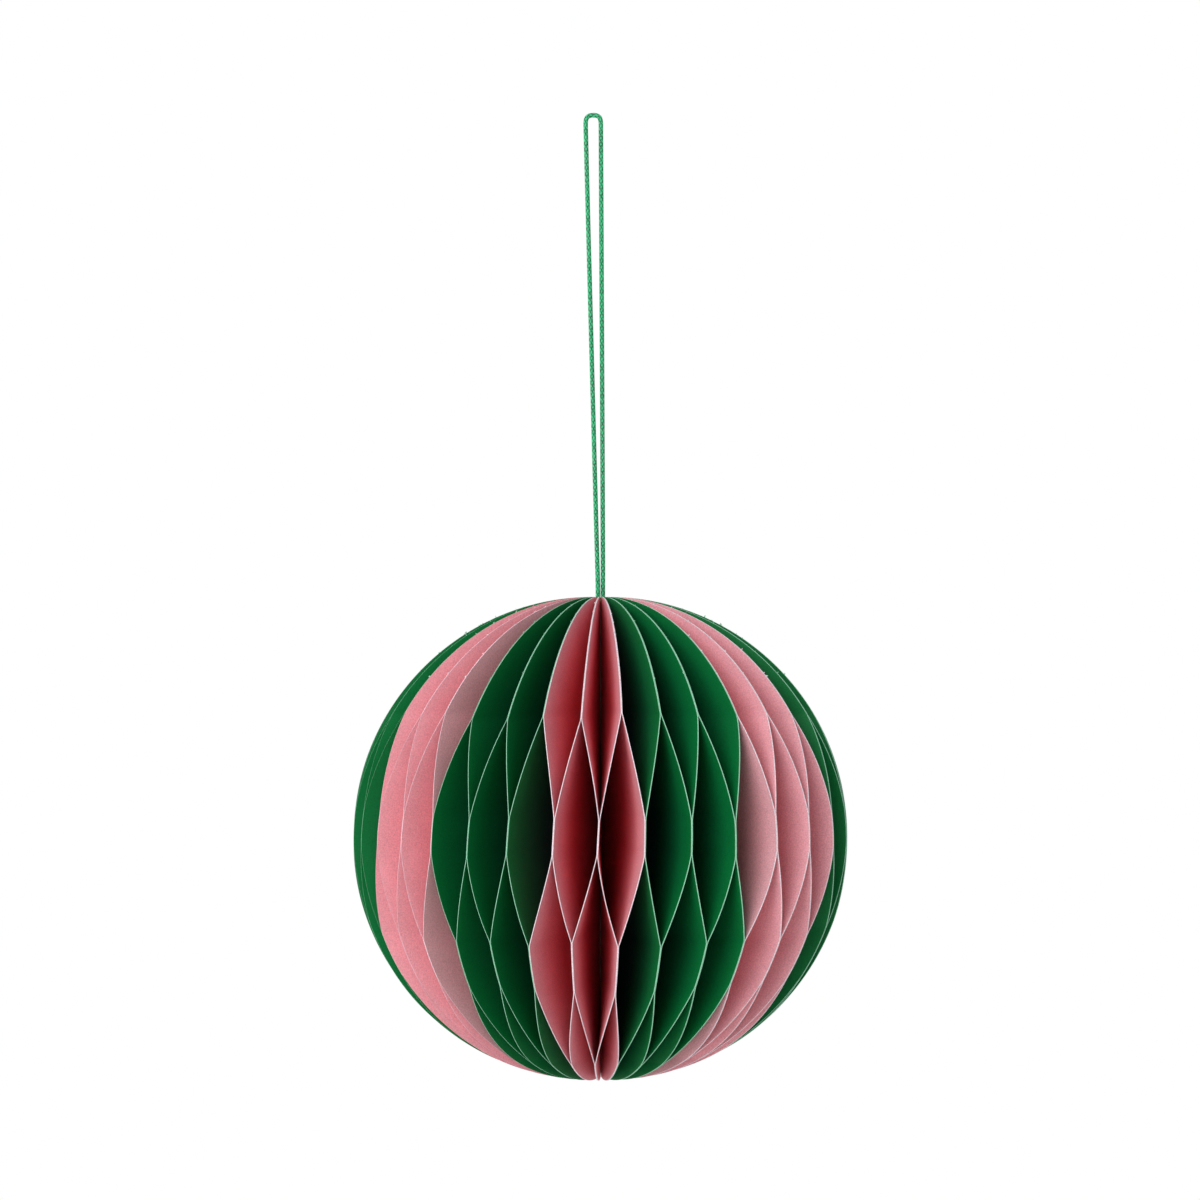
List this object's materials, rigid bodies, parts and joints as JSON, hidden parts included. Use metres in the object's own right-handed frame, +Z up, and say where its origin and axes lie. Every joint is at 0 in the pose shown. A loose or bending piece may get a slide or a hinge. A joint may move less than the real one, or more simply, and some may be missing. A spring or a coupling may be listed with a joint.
{
  "type": "honeycomb paper ball",
  "caption": "Hanging ornament: a honeycomb ball of glued half-disc card leaves in pink and green stripes, on a loop of fine cord.",
  "frame": {"origin": "where a hook bears, inside the crown of the cord's loop", "axes": "+Z up along the ball's spine, -Y towards the viewer"},
  "size_m": [0.1, 0.1, 0.1953],
  "materials": {
    "pink_card": "matte uncoated card, coloured on both faces, pale cut edges",
    "green_card": "matte uncoated card, coloured on both faces, pale cut edges",
    "cord": "fine braided green cord",
    "glue": "set amber hot-melt glue, hidden inside the spine"
  },
  "bodies": {
    "root": {"green_leaf_01": "green_card", "green_leaf_02": "green_card", "green_leaf_03": "green_card", "green_leaf_06": "green_card", "green_leaf_07": "green_card", "green_leaf_08": "green_card", "green_leaf_11": "green_card", "green_leaf_12": "green_card", "green_leaf_13": "green_card", "green_leaf_16": "green_card", "green_leaf_17": "green_card", "green_leaf_18": "green_card", "green_leaf_21": "green_card", "green_leaf_22": "green_card", "green_leaf_23": "green_card", "green_leaf_26": "green_card", "green_leaf_27": "green_card", "green_leaf_28": "green_card", "green_leaf_31": "green_card", "green_leaf_32": "green_card", "green_leaf_33": "green_card", "green_leaves_04_05": "green_card", "green_leaves_09_10": "green_card", "green_leaves_14_15": "green_card", "green_leaves_19_20": "green_card", "green_leaves_24_25": "green_card", "green_leaves_29_30": "green_card", "green_leaves_34_35": "green_card", "hanging_cord": "cord", "pink_leaf_01": "pink_card", "pink_leaf_02": "pink_card", "pink_leaf_03": "pink_card", "pink_leaf_06": "pink_card", "pink_leaf_07": "pink_card", "pink_leaf_08": "pink_card", "pink_leaf_11": "pink_card", "pink_leaf_12": "pink_card", "pink_leaf_13": "pink_card", "pink_leaf_16": "pink_card", "pink_leaf_17": "pink_card", "pink_leaf_18": "pink_card", "pink_leaf_21": "pink_card", "pink_leaf_22": "pink_card", "pink_leaf_23": "pink_card", "pink_leaf_26": "pink_card", "pink_leaf_27": "pink_card", "pink_leaf_28": "pink_card", "pink_leaf_31": "pink_card", "pink_leaf_32": "pink_card", "pink_leaf_33": "pink_card", "pink_leaves_04_05": "pink_card", "pink_leaves_09_10": "pink_card", "pink_leaves_14_15": "pink_card", "pink_leaves_19_20": "pink_card", "pink_leaves_24_25": "pink_card", "pink_leaves_29_30": "pink_card", "pink_leaves_34_35": "pink_card", "spine_glue": "glue"}
  },
  "joints": []
}
